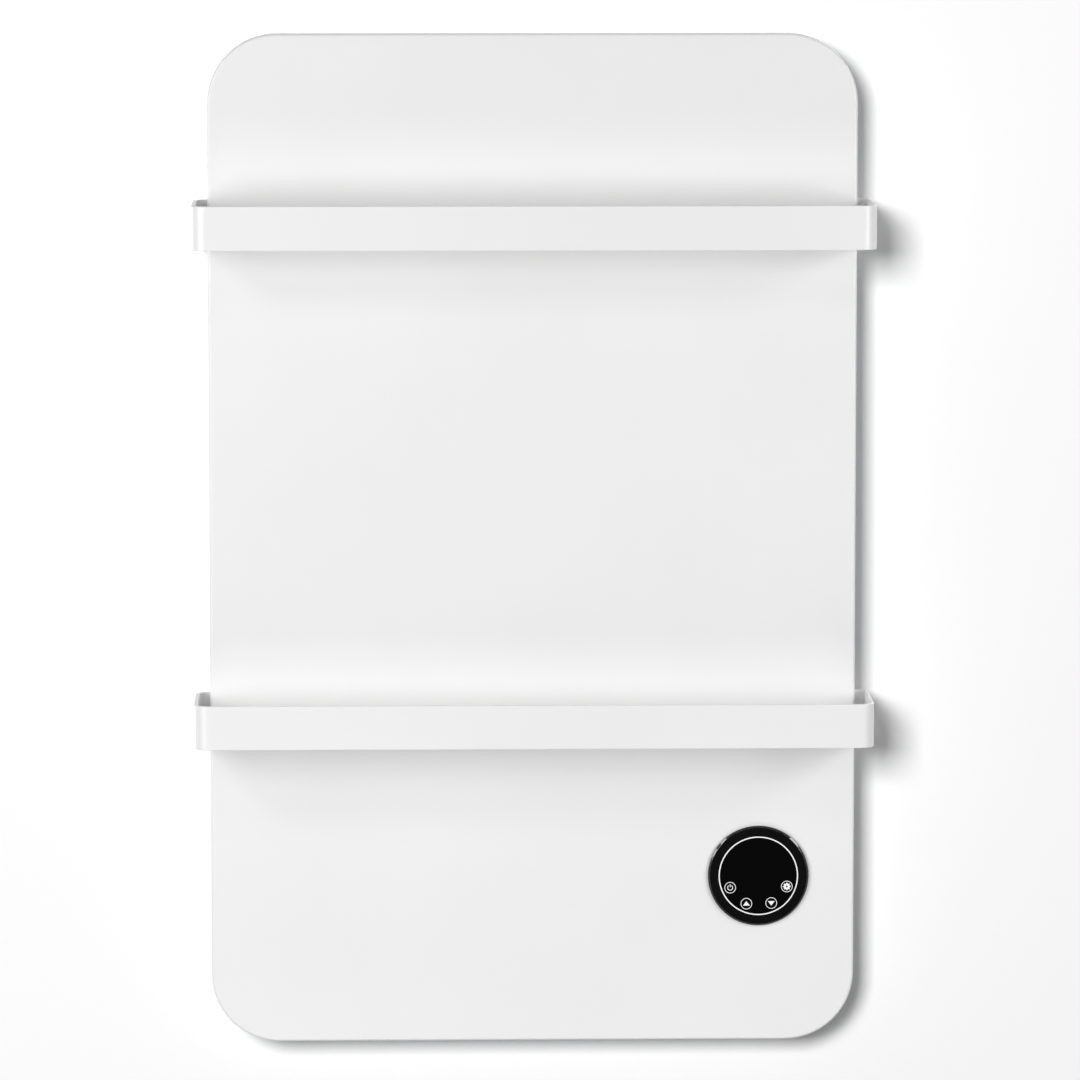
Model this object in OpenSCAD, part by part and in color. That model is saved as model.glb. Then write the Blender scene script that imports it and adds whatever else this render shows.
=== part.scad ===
// Infrared panel heater for a bathroom wall, with two flat towel bars and a round touch control.
// Millimetres. +Z is up, the heater faces -Y and the wall is the plane y = 0.
// The origin lies on the wall at the centre of the four wall screws.
// Outlines drawn by from_wall() are seen from the front, and their depths are distances from the wall.

/* [Panel] */
// Width of the panel
panel_w = 574; // [520:1:640]
// Height of the panel
panel_h = 900; // [840:1:1000]
// Depth of the panel from its front face to its rear face
panel_d = 22; // [21:0.5:30]
// Radius of the panel's four corners
panel_corner_r = 61.5; // [50:0.5:70]
// Outside radius of the folded front and rear edges of the tray
panel_fold_r = 2.6; // [2:0.1:3.5]
// Thickness of the front tray's steel
panel_sheet = 1.2; // [1:0.1:1.5]
// Width of the lip that the tray turns in behind, from its outer face
panel_lip = 12; // [11:0.5:14]
// Thickness of the rear cover's steel
cover_sheet = 1; // [0.8:0.1:1.2]
// How far the rear cover's edge stays inside the tray's outer face
cover_inset = 1; // [0.5:0.1:1.5]
// Distance from the wall to the panel's rear face
wall_gap = 28; // [26:0.5:40]

/* [Towel bars] */
// Distance from the panel's front face to the front face of a bar
bar_reach = 70; // [50:1:100]
// Gap between the panel's side and the inner face of a bar's arm
bar_side_gap = 10; // [6:0.5:20]
// Height of the flat strip that a bar is bent from
bar_strip_h = 39; // [30:0.5:45]
// Thickness of that strip
bar_strip_t = 3; // [2.5:0.1:4]
// Radius of the strip's rolled edges
bar_edge_r = 0.8; // [0.4:0.1:1.2]
// Outside radius of the four bends
bar_bend_r = 13; // [9:0.5:20]
// Distance from the panel's top edge to the upper bar's top edge
upper_bar_drop = 147; // [125:1:165]
// Distance from the panel's top edge to the lower bar's top edge
lower_bar_drop = 587; // [560:1:610]
// Distance between the two screws of a lug
lug_screw_pitch = 20; // [16:0.5:28]
// Distance from a lug's inner screw to the lug's end
lug_end = 10; // [8:0.5:14]
// Thread of the lug screws
lug_screw_d = 5; // [4:0.5:6]
// Height of the backing plate that a lug's screws hold in
lug_plate_h = 54; // [48:1:80]
// Thickness of that plate
lug_plate_t = 3; // [2:0.5:4]

/* [Wall fixing] */
// Distance between the wall screws, sideways
fixing_pitch_x = 340; // [310:1:370]
// Distance between the wall screws, upwards
fixing_pitch_z = 400; // [370:1:405]
// Diameter of the holes for the wall screws
fixing_hole_d = 6.5; // [5:0.1:8]
// Distance from a wall screw to the end of its rail
rail_end = 20; // [14:1:30]
// Thickness of the rails and hangers
rail_sheet = 2; // [1.5:0.1:2.5]
// Height of a rail below its screws
rail_below = 16; // [12:1:22]
// Height of a rail above its screws, up to its step
rail_above = 16; // [12:1:20]
// Distance from the wall to the front of a rail's lip
rail_step = 10; // [9:0.5:12]
// Height of the lip above the step
rail_lip = 20; // [17:0.5:24]
// Length of a hanger
hanger_w = 270; // [240:1:320]
// Width of each hook
hook_w = 60; // [40:1:80]
// How far a hook reaches down behind its rail's lip
hook_drop = 16; // [10:0.5:16]
// Height of a hanger below the wall screws
hanger_below = 21; // [20:0.5:24]
// Distance between the two rows of rivets
rivet_rows = 32; // [30:0.5:34]
// Diameter of the rivets
rivet_d = 3.2; // [3:0.1:4]

/* [Heating layers] */
// Thickness of the heating film
film_t = 0.8; // [0.5:0.1:1.2]
// Distance from the panel's outer edge to the film
film_inset = 25; // [18:1:35]
// Width of a bus bar
bus_w = 12; // [8:1:16]
// Thickness of a bus bar
bus_t = 0.3; // [0.2:0.05:0.5]
// Thickness of the reflector foil
foil_t = 0.5; // [0.3:0.1:0.8]
// Width of the hat-shaped stiffeners' crown
hat_crown = 24; // [20:1:26]
// Depth of the stiffeners
hat_d = 10; // [8:0.5:12]
// Width of each of their feet
hat_foot = 8; // [7:0.5:10]
// Thickness of their steel
hat_sheet = 1.2; // [1:0.1:1.5]
// Height of the beads pressed into the rear cover
bead_rise = 2.5; // [1.5:0.1:3]
// Width of the beads
bead_w = 12; // [10:0.5:16]
// Distance between two beads
bead_pitch = 80; // [64:1:88]
// Diameter of the rubber wall buffers
buffer_d = 20; // [14:1:24]

/* [Touch control] */
// Distance from the panel's side to the middle of the touch control
touch_from_side = 85.5; // [80:0.5:95]
// Distance from the panel's bottom edge to the middle of the touch control
touch_from_bottom = 149; // [138:1:156]
// Outer diameter of the bezel
touch_d = 90; // [84:0.5:94]
// Width of the bezel's rim round the glass
touch_rim = 1.8; // [1.2:0.1:3]
// How far the glass and its rim stand in front of the panel
touch_proud = 3.2; // [2.8:0.1:4]
// Thickness of the glass
glass_t = 2; // [1.5:0.1:2.4]
// Thickness of the gasket under the bezel
gasket_t = 0.4; // [0.3:0.05:0.6]
// Length of the bezel's skirt behind the panel's front face
skirt_len = 12; // [11:0.5:14]
// Wall of the skirt
skirt_wall = 1.8; // [1.4:0.1:2.2]
// Thickness of the nut on the skirt
nut_t = 4; // [3:0.5:5]
// Outer diameter of the light ring
ring_d = 72; // [66:0.5:73]
// Width of the light ring
ring_w = 1.8; // [1.2:0.1:2.5]
// Distance from the middle of the control to its four keys
key_radius = 27.4; // [25:0.1:28.5]
// Diameter of the spring behind each key
key_spring_d = 7; // [5:0.5:8]

/* [Control box] */
// Width of the control box
box_w = 104; // [100:1:110]
// Height of the control box
box_h = 124; // [120:1:130]
// How far the middle of the box lies below the middle of the touch control
box_drop = 9; // [7:0.5:10]
// Radius of its corners
box_r = 8; // [6:0.5:9]
// Wall of the control box
box_wall = 2.5; // [2:0.1:3]
// How far the box stands behind the rear cover, without its lid
box_reach = 18; // [17:0.5:22]
// Width of the flange round the box
box_flange = 8; // [7:0.5:9]
// Thickness of the box's lid
lid_t = 2.5; // [2:0.1:3]
// Gap between the power board and the box's side walls
board_side_gap = 3.5; // [3:0.5:7]
// Gap between the power board and the box's upper and lower walls
board_end_gap = 7.5; // [7:0.5:10]
// Bore of the cable gland
gland_bore_d = 7; // [5:0.1:8]
// Length of the cable gland's nut and body outside the box
gland_len = 18; // [14:1:24]
// Length of the mains switch's frame
switch_l = 15; // [14:0.5:17]
// Width of the mains switch's frame
switch_w = 10.6; // [10:0.1:12]
// How far the rocker swings between off and on
rocker_swing = 24; // [16:1:28]

/* [Hidden] */
$fn = 64;

// Small clearances
hole_play = 0.25;
seat_play = 0.15;
cut = 1;

// Distances from the wall
panel_front = wall_gap + panel_d;
cover_inner = wall_gap + cover_sheet;
skin_inner = panel_front - panel_sheet;
film_back = skin_inner - film_t;
bus_back = film_back - bus_t;
foil_back = bus_back - foil_t;
bar_front = panel_front + bar_reach;
lug_back = wall_gap - bar_strip_t;

// Towel bars
bar_w = panel_w + 2 * (bar_side_gap + bar_strip_t);
upper_bar_top = panel_h / 2 - upper_bar_drop;
lower_bar_top = panel_h / 2 - lower_bar_drop;
bar_tops = [upper_bar_top, lower_bar_top];
lug_screw_outer = panel_w / 2 - panel_lip - 5;
lug_screws = [lug_screw_outer, lug_screw_outer - lug_screw_pitch];
lug_end_x = lug_screw_outer - lug_screw_pitch - lug_end;
lug_screw_len = 12;
lug_head_d = 1.9 * lug_screw_d;
lug_head_h = 0.55 * lug_screw_d;
lug_hole_d = lug_screw_d + 2 * hole_play;

// Wall fixing
rail_bend = rail_sheet;
rail_w = fixing_pitch_x + 2 * rail_end;
hook_height = rail_above + rail_lip;
hanger_x = (hanger_w - hook_w) / 2;
rivet_x = [-0.4, -0.13, 0.13, 0.4] * hanger_w;

// Screws of the rear cover, on the middle of the tray's lip
cover_screw_d = 4;
cover_screw_len = 8;
cover_screw_edge = panel_fold_r + (panel_lip - panel_fold_r) / 2;
side_screw_x = panel_w / 2 - cover_screw_edge;
end_screw_z = panel_h / 2 - cover_screw_edge;
side_screw_top = panel_h / 2 - panel_corner_r - 18;
bar_middles = [for (top = bar_tops) top - bar_strip_h / 2];
side_screw_gap = 60;
side_screw_z = [side_screw_top, bar_middles[0] - side_screw_gap, (bar_middles[0] + bar_middles[1]) / 2,
    bar_middles[1] + side_screw_gap, bar_middles[1] - side_screw_gap, -side_screw_top];
cover_screws = concat(
    [for (x = [-side_screw_x, side_screw_x], z = side_screw_z) [x, z]],
    [for (x = [-1, 0, 1] * panel_w * 0.31, z = [-end_screw_z, end_screw_z]) [x, z]]);

// Stiffeners, and the plates that take the lug screws
stiffener_w = hanger_w + 8;
lug_plate_edge = panel_w / 2 - panel_lip - 0.5;
lug_plate_w = lug_plate_edge - lug_end_x;
lug_plate_x = (lug_plate_edge + lug_end_x) / 2;

// Rear cover's beads, in three rows of upright beads
bead_x = [-1.5, -0.5, 0.5, 1.5] * bead_pitch;
bead_end_gap = 40;
bead_r = (pow(bead_w / 2, 2) + pow(bead_rise, 2)) / (2 * bead_rise);
bead_axis = wall_gap - bead_rise + bead_r;

// Touch control and control box
touch_x = panel_w / 2 - touch_from_side;
touch_z = touch_from_bottom - panel_h / 2;
touch_front = panel_front + touch_proud;
glass_r = touch_d / 2 - touch_rim;
glass_back = touch_front - glass_t;
skirt_r = glass_r - 2.2;
skirt_inner = skirt_r - skirt_wall;
skirt_end = panel_front - skirt_len;
pcb_t = 1.6;
display_pcb_front = panel_front - 6.4;
display_pcb_back = display_pcb_front - pcb_t;
nut_back = skin_inner - nut_t;
box_front = nut_back - 0.3;
box_floor = box_front - box_wall;
box_rim = wall_gap - box_reach;
lid_back = box_rim - lid_t;
box_inner_w = box_w - 2 * box_wall;
box_inner_h = box_h - 2 * box_wall;
flange_w = box_w + 2 * box_flange;
flange_h = box_h + 2 * box_flange;
flange_t = 2;
housing_screw_d = 3.5;
box_z = touch_z - box_drop;
lid_post_d = 7;
lid_screw_len = 11;
lid_post = [box_inner_w, box_inner_h] / 2 - [1, 1] * (lid_post_d / 2 - 0.3);
board_front = box_floor - 10.4;
board_back = board_front - pcb_t;
board_w = box_inner_w - 2 * board_side_gap;
board_h = box_inner_h - 2 * board_end_gap;
board_post = [board_w / 2 - 4, board_h / 2 - 4];
key_angles = [202.5, 247.5, 292.5, 337.5];

// Mains switch in the box's outer side wall
switch_depth = (box_rim + wall_gap - flange_t) / 2;
switch_wall_x = touch_x + box_w / 2;
switch_rise = 1.6;
switch_frame = 1;
switch_body_l = switch_l - 2;
switch_body_w = switch_w - 2;
switch_body_deep = 11;
rocker_play = 0.3;
rocker_l = switch_body_l - 2 * switch_frame - 2 * rocker_play;
rocker_w = switch_body_w - 2 * switch_frame;
rocker_pin_r = 0.8;
rocker_axis_x = switch_wall_x + 0.2;

// Cable gland under the box
gland_depth = switch_depth;
gland_thread_r = gland_bore_d / 2 + 1.7;
gland_hex_r = gland_thread_r + 2.4;
box_bottom = box_z - box_h / 2;

// Leads
lead_r = 1.3;
lead_bend = 3;
lead_depth = box_floor - 4;
box_top = box_z + box_h / 2;
film_notch_x = touch_x - flange_w / 2 - 6;
film_notch_z = box_z + flange_h / 2 + 15;
cutout_r = 8;
cutout_t = 5;
cutout_x = touch_x - 11.5;
cutout_rise = 76;
cutout_z = film_notch_z + cutout_rise;
cutout_lead_x = [cutout_x - 3, cutout_x + 3];
sensor_x = touch_x + 16;
sensor_z = cutout_z;
sensor_size = [5, 8, 3];
bus_x = panel_w / 2 - film_inset - bus_w / 2;
bus_tab_x = touch_x + 30;
bus_tab_z = film_notch_z + bus_w / 2;
lead_start_z = box_z + board_h / 2 - 2;
far_lead_x = touch_x - board_w / 2 + 8;
far_lead_z = lead_start_z - 7;
earth_stud_d = 4;
earth_stud_len = 10;
earth_nut_r = earth_stud_d;
earth_tag_t = 0.8;
earth_x = touch_x - box_w / 2 + 22;
earth_z = box_z - flange_h / 2 - 12;
earth_lead_depth = board_front + lead_r;
earth_lead_end = box_z - board_h / 2 + 8;
earth_tag_back = earth_lead_depth - earth_tag_t / 2;

// Flat outlines

module rounded_rect(w, h, r) {
    square([w - 2 * r, h], center = true);
    square([w, h - 2 * r], center = true);
    for (x = [-1, 1], y = [-1, 1])
        translate([x * (w / 2 - r), y * (h / 2 - r)])
            circle(r);
}

module slot(length, width) {
    square([length - width, width], center = true);
    for (x = [-1, 1])
        translate([x * (length - width) / 2, 0])
            circle(d = width);
}

// A quarter ring, or less. It starts below its centre and turns to the left, or above it and turns to the right.
module ring_sector(inner, outer, turn) {
    side = sign(turn);
    middle = [sin(abs(turn) / 2), -side * cos(turn / 2)] / cos(turn / 2);
    intersection() {
        difference() {
            circle(outer);
            circle(inner);
        }
        polygon(2 * outer * [[0, 0], [0, -side], middle, [sin(abs(turn)), -side * cos(turn)]]);
    }
}

// The section of a folded sheet. Each leg is a length and the turn after it, positive to the left;
// bend is the radius of the sheet's middle.
module folded(legs, sheet, bend, i = 0) {
    translate([0, -sheet / 2])
        square([legs[i][0], sheet]);
    turn = legs[i][1];
    side = sign(turn);
    if (turn != 0)
        translate([legs[i][0], 0]) {
            translate([0, side * bend])
                ring_sector(bend - sheet / 2, bend + sheet / 2, turn);
            translate(bend * [sin(abs(turn)), side * (1 - cos(turn))])
                rotate(turn)
                    folded(legs, sheet, bend, i + 1);
        }
}

// Solids

// An outline seen from the front, between two distances from the wall
module from_wall(near, far) {
    rotate([90, 0, 0])
        translate([0, 0, near])
            linear_extrude(far - near)
                children();
}

// A side section, drawn with x away from the wall and y up, drawn out across the width
module across(length) {
    rotate([90, 0, -90])
        linear_extrude(length, center = true)
            children();
}

// A profile of radius and distance from the wall, turned about an axis square to the wall
module turned(x, z) {
    translate([x, 0, z])
        rotate([90, 0, 0])
            rotate_extrude()
                children();
}

// A round hole or shank square to the wall
module drill(x, z, d, near, far) {
    translate([x, -near, z])
        rotate([90, 0, 0])
            cylinder(d = d, h = far - near);
}

// A profile of distance from the corner's centre and depth, carried round a rounded rectangle
module swept_rim(w, h, r) {
    for (q = [0 : 3]) {
        side = q % 2 == 0 ? w : h;
        run = q % 2 == 0 ? h : w;
        rotate(90 * q) {
            translate([side / 2 - r, 0, 0])
                rotate([90, 0, 0])
                    linear_extrude(run - 2 * r, center = true)
                        children();
            translate([side / 2 - r, run / 2 - r, 0])
                rotate_extrude(angle = 90)
                    children();
        }
    }
}

// A section symmetrical about its middle, carried along x and round bends in the plane z = 0.
// Each leg is a length and the turn after it, positive to the left.
module swept(legs, bend, i = 0) {
    rotate([90, 0, 90])
        linear_extrude(legs[i][0])
            children();
    turn = legs[i][1];
    if (turn != 0)
        translate([legs[i][0], 0, 0])
            mirror([0, turn < 0 ? 1 : 0, 0]) {
                translate([0, bend, 0])
                    rotate(-90)
                        rotate_extrude(angle = abs(turn))
                            translate([bend, 0])
                                children();
                translate([bend * sin(abs(turn)), bend * (1 - cos(turn)), 0])
                    rotate(abs(turn))
                        mirror([0, turn < 0 ? 1 : 0, 0])
                            swept(legs, bend, i + 1)
                                children();
            }
}

// A plane seen from the side at x, with x away from the wall and y up
module side_plane(x) {
    translate([x, 0, 0])
        rotate([90, 0, -90])
            children();
}

// A plane seen from below at z, with x away from the wall and y to the left
module level_plane(z) {
    translate([0, 0, z])
        rotate([180, 0, -90])
            children();
}

// A pan-head screw with a cross recess, its head towards the wall
module pan_screw(x, z, d, length, seat) {
    head_r = 0.95 * d;
    head_h = 0.55 * d;
    difference() {
        turned(x, z)
            union() {
                translate([0, seat - head_h])
                    square([head_r - head_h / 3, head_h]);
                translate([0, seat - head_h * 2 / 3])
                    square([head_r, head_h * 2 / 3]);
                translate([head_r - head_h / 3, seat - head_h * 2 / 3])
                    circle(head_h / 3);
                translate([0, seat - head_h / 4])
                    square([d / 2, length + head_h / 4]);
            }
        for (turn = [0, 90])
            translate([x, -seat + head_h, z])
                rotate([0, turn, 0])
                    cube([d, head_h, d / 5], center = true);
    }
}

// Wall rails and hangers

module wall_rail(z) {
    middle = rail_sheet / 2;
    intersection() {
        translate([0, 0, z])
            across(rail_w)
                translate([middle, -rail_below])
                    rotate(90)
                        folded([[rail_below + rail_above - middle - rail_bend, -90],
                            [rail_step - rail_sheet - 2 * rail_bend, 90],
                            [rail_lip + middle - rail_bend, 0]], rail_sheet, rail_bend);
        from_wall(-cut, rail_step + cut)
            translate([0, z + (hook_height - rail_below) / 2])
                rounded_rect(rail_w, hook_height + rail_below, 5);
    }
}

module drilled_wall_rail(z) {
    difference() {
        wall_rail(z);
        for (x = [-1, 1] * fixing_pitch_x / 2)
            drill(x, z, fixing_hole_d, -cut, rail_sheet + cut);
    }
}

module upper_wall_rail() {
    color("silver")
        drilled_wall_rail(fixing_pitch_z / 2);
}

module lower_wall_rail() {
    color("silver")
        drilled_wall_rail(-fixing_pitch_z / 2);
}

// A hanger's front outline: a web with two hooks that stand up from it
module hanger_outline() {
    web_top = rail_above;
    top = hook_height + rail_sheet;
    translate([0, (web_top - hanger_below) / 2])
        rounded_rect(hanger_w, web_top + hanger_below, 4);
    for (x = [-1, 1] * hanger_x)
        translate([x, top / 2])
            square([hook_w, top], center = true);
}

module hanger(z) {
    middle = rail_sheet / 2;
    hook_depth = rail_step / 2;
    difference() {
        intersection() {
            translate([0, 0, z])
                across(hanger_w)
                    translate([wall_gap - middle, -hanger_below])
                        rotate(90)
                            folded([[hanger_below + hook_height + middle - rail_bend, 90],
                                [wall_gap - middle - hook_depth - 2 * rail_bend, 90],
                                [hook_drop + middle - rail_bend, 0]], rail_sheet, rail_bend);
            from_wall(-cut, wall_gap + cut)
                translate([0, z])
                    hanger_outline();
        }
        for (x = rivet_x, row = [-1, 1] * rivet_rows / 2)
            drill(x, z + row, rivet_d + 2 * seat_play, wall_gap - rail_sheet - cut, wall_gap + cut);
    }
}

module upper_hanger() {
    color("lightgray")
        hanger(fixing_pitch_z / 2);
}

module lower_hanger() {
    color("lightgray")
        hanger(-fixing_pitch_z / 2);
}

// Blind rivets through hanger, cover and stiffener
module hanger_rivets() {
    head = wall_gap - rail_sheet;
    inside = cover_inner + hat_sheet;
    color("gainsboro")
        for (z = [-1, 1] * fixing_pitch_z / 2, x = rivet_x, row = [-1, 1] * rivet_rows / 2)
            turned(x, z + row)
                union() {
                    translate([0, head - rivet_d * 0.35])
                        square([rivet_d * 0.7, rivet_d * 0.35]);
                    translate([0, head - rivet_d * 0.2])
                        square([rivet_d, rivet_d * 0.2]);
                    translate([0, head - 0.1])
                        square([rivet_d / 2, inside - head + 2]);
                    translate([0, inside])
                        square([rivet_d * 0.75, 2.6]);
                }
}

// Front panel: a tray with swept corners, folded edges and a lip turned in behind

module tray_section() {
    tray_d = panel_d - cover_sheet;
    translate([0, skin_inner + panel_sheet / 2])
        folded([[panel_corner_r - panel_fold_r, -90], [tray_d - 2 * panel_fold_r, -90],
            [panel_lip - panel_fold_r, 0]], panel_sheet, panel_fold_r - panel_sheet / 2);
}

module front_panel() {
    flat_w = panel_w - 2 * panel_corner_r;
    flat_h = panel_h - 2 * panel_corner_r;
    color("white")
        difference() {
            union() {
                rotate([90, 0, 0])
                    swept_rim(panel_w, panel_h, panel_corner_r)
                        tray_section();
                from_wall(skin_inner, panel_front)
                    square([flat_w, flat_h], center = true);
            }
            drill(touch_x, touch_z, 2 * skirt_r + 2 * hole_play, skin_inner - cut, panel_front + cut);
            for (p = cover_screws)
                drill(p[0], p[1], cover_screw_d + 0.1, cover_inner - cut, cover_inner + panel_sheet + cut);
        }
}

// Rear cover

// A round-ended bar that lies along z, made of a cylinder and two half balls
module capsule(x, z, length, r) {
    straight = length - 2 * r;
    translate([x, -bead_axis, z])
        for (end = [0, 180])
            rotate([end, 0, 0]) {
                cylinder(r = r, h = straight / 2);
                translate([0, 0, straight / 2])
                    rotate_extrude()
                        intersection() {
                            circle(r);
                            square([r, r]);
                        }
            }
}

// The rows of beads: the middle and length of each, above, between and below the hangers
module bead_rows() {
    above = fixing_pitch_z / 2 + hook_height;
    below = fixing_pitch_z / 2 + hanger_below;
    outer_len = panel_h / 2 - above - 2 * bead_end_gap;
    middle_len = fixing_pitch_z - hanger_below - hook_height - bead_end_gap;
    lower_len = panel_h / 2 - below - 2 * bead_end_gap;
    for (x = bead_x) {
        bead_at(x, above + bead_end_gap + outer_len / 2, outer_len)
            children();
        bead_at(x, (hook_height - hanger_below) / 2, middle_len)
            children();
        if (x + bead_w < touch_x - flange_w / 2)
            bead_at(x, -below - bead_end_gap - lower_len / 2, lower_len)
                children();
    }
}

module bead_at(x, z, length) {
    $bead_x = x;
    $bead_z = z;
    $bead_length = length;
    children();
}

module rear_cover() {
    color("gainsboro")
        difference() {
            union() {
                from_wall(wall_gap, cover_inner)
                    rounded_rect(panel_w - 2 * cover_inset, panel_h - 2 * cover_inset, panel_corner_r - cover_inset);
                intersection() {
                    bead_rows()
                        capsule($bead_x, $bead_z, $bead_length, bead_r);
                    from_wall(wall_gap - bead_rise - cut, wall_gap + cover_sheet / 2)
                        square([panel_w, panel_h], center = true);
                }
            }
            bead_rows()
                capsule($bead_x, $bead_z, $bead_length - 2 * cover_sheet, bead_r - cover_sheet);
            from_wall(wall_gap - cut, cover_inner + cut)
                translate([touch_x, box_z])
                    rounded_rect(box_w + 2 * hole_play, box_h + 2 * hole_play, box_r + hole_play);
            for (p = cover_screws)
                drill(p[0], p[1], cover_screw_d + 2 * hole_play, wall_gap - cut, cover_inner + cut);
            for (x = rivet_x, z = [-1, 1] * fixing_pitch_z / 2, row = [-1, 1] * rivet_rows / 2)
                drill(x, z + row, rivet_d + 2 * seat_play, wall_gap - cut, cover_inner + cut);
            for (side = [-1, 1], x = lug_screws, z = bar_middles)
                drill(side * x, z, lug_hole_d, wall_gap - cut, cover_inner + cut);
            for (p = housing_screw_points())
                drill(p[0], p[1], housing_screw_d + 0.1, wall_gap - cut, cover_inner + cut);
            drill(earth_x, earth_z, earth_stud_d + 0.1, wall_gap - cut, cover_inner + cut);
        }
}

module rear_cover_screws() {
    color("silver")
        for (p = cover_screws)
            pan_screw(p[0], p[1], cover_screw_d, cover_screw_len, wall_gap);
}

// Rubber buffers that keep the panel's lower end off the wall
module wall_buffers() {
    base_t = 6;
    tip_r = buffer_d / 2 - 3;
    color("dimgray")
        for (side = [-1, 1])
            turned(side * (panel_w / 2 - panel_lip - 25 - buffer_d / 2), buffer_d / 2 + 35 - panel_h / 2)
                union() {
                    translate([0, wall_gap - base_t])
                        square([buffer_d / 2, base_t]);
                    translate([0, 1.5])
                        square([tip_r, wall_gap - base_t - 1]);
                    square([tip_r - 1.5, 2]);
                    translate([tip_r - 1.5, 1.5])
                        circle(1.5);
                }
}

// Layers behind the front skin

module film_outline(inset) {
    difference() {
        rounded_rect(panel_w - 2 * inset, panel_h - 2 * inset, panel_corner_r - 15);
        translate([film_notch_x, -panel_h])
            square([panel_w, panel_h + film_notch_z]);
    }
}

module heating_film() {
    color("dimgray")
        from_wall(film_back, skin_inner)
            film_outline(film_inset);
}

// Copper strips down both sides of the film, the right one with a foot for its lead
module bus_bars() {
    top = panel_h / 2 - panel_corner_r - 8;
    color("peru")
        from_wall(bus_back, film_back) {
            translate([-bus_x - bus_w / 2, -top])
                square([bus_w, 2 * top]);
            translate([bus_x - bus_w / 2, film_notch_z])
                square([bus_w, top - film_notch_z]);
            translate([bus_tab_x - bus_w / 2, film_notch_z])
                square([bus_x - bus_tab_x + bus_w / 2, bus_w]);
        }
}

module reflector_foil() {
    color("lightgray")
        difference() {
            from_wall(foil_back, bus_back)
                film_outline(film_inset);
            drill(cutout_x, cutout_z, 2 * cutout_r + 2, foil_back - cut, bus_back + cut);
            from_wall(foil_back - cut, bus_back + cut)
                translate([sensor_x, sensor_z])
                    square([sensor_size[0] + 2, sensor_size[1] + 2], center = true);
            drill(bus_tab_x, bus_tab_z, 2 * lead_r + 1, foil_back - cut, bus_back + cut);
            drill(-bus_x, far_lead_z, 2 * lead_r + 1, foil_back - cut, bus_back + cut);
        }
}

module insulation_board() {
    inset = panel_lip + 2;
    channel_floor = lead_depth - 4;
    color("khaki")
        difference() {
            from_wall(cover_inner, foil_back)
                rounded_rect(panel_w - 2 * inset, panel_h - 2 * inset, panel_corner_r - inset);
            for (z = [-1, 1] * fixing_pitch_z / 2)
                from_wall(cover_inner - cut, cover_inner + hat_d + 1)
                    translate([0, z])
                        square([stiffener_w + 4, hat_crown + 2 * hat_foot + 4], center = true);
            for (side = [-1, 1], z = bar_middles)
                from_wall(cover_inner - cut, cover_inner + lug_screw_len - bar_strip_t + 1)
                    translate([side * lug_plate_x, z])
                        square([lug_plate_w + 2, lug_plate_h + 2], center = true);
            from_wall(cover_inner - cut, foil_back + cut)
                translate([touch_x, box_z])
                    square([flange_w + 2, flange_h + 2], center = true);
            from_wall(channel_floor, foil_back + cut) {
                translate([cutout_x - cutout_r - 2, box_top])
                    square([bus_tab_x - cutout_x + cutout_r + 6, bus_tab_z + 4 - box_top]);
                translate([cutout_x - cutout_r - 2, box_top])
                    square([sensor_x - cutout_x + cutout_r + 7, cutout_z + cutout_r + 2 - box_top]);
                translate([-bus_x - 4, far_lead_z - 3])
                    square([bus_x + touch_x - flange_w / 2 + 4, 6]);
            }
            from_wall(cover_inner - cut, cover_inner + earth_stud_len + 1)
                translate([earth_x - 2 * earth_nut_r, earth_z - 2 * earth_nut_r])
                    square([4 * earth_nut_r, box_z - flange_h / 2 - earth_z + 2 * earth_nut_r]);
        }
}

// Hat-shaped stiffeners inside the rear cover, behind each hanger
module stiffener(z) {
    middle = hat_sheet / 2;
    bend = hat_sheet;
    rise = hat_d - hat_sheet - 2 * bend;
    translate([0, 0, z])
        across(stiffener_w)
            translate([cover_inner + middle, -hat_crown / 2 - hat_foot])
                rotate(90)
                    folded([[hat_foot + middle - bend, -90], [rise, 90],
                        [hat_crown - hat_sheet - 2 * bend, 90], [rise, -90],
                        [hat_foot + middle - bend, 0]], hat_sheet, bend);
}

module drilled_stiffener(z) {
    difference() {
        stiffener(z);
        for (x = rivet_x, row = [-1, 1] * rivet_rows / 2)
            drill(x, z + row, rivet_d + 2 * seat_play, cover_inner - cut, cover_inner + hat_sheet + cut);
    }
}

module upper_stiffener() {
    color("slategray")
        drilled_stiffener(fixing_pitch_z / 2);
}

module lower_stiffener() {
    color("slategray")
        drilled_stiffener(-fixing_pitch_z / 2);
}

// Plates inside the rear cover that take the lug screws
module bar_backing_plates() {
    color("slategray")
        for (side = [-1, 1], z = bar_middles)
            difference() {
                from_wall(cover_inner, cover_inner + lug_plate_t)
                    translate([side * lug_plate_x, z])
                        rounded_rect(lug_plate_w, lug_plate_h, 4);
                for (x = lug_screws)
                    drill(side * x, z, lug_screw_d + 0.1, cover_inner - cut, cover_inner + lug_plate_t + cut);
            }
}

// Towel bars

module strip_section() {
    rounded_rect(bar_strip_t, bar_strip_h, bar_edge_r);
}

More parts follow.
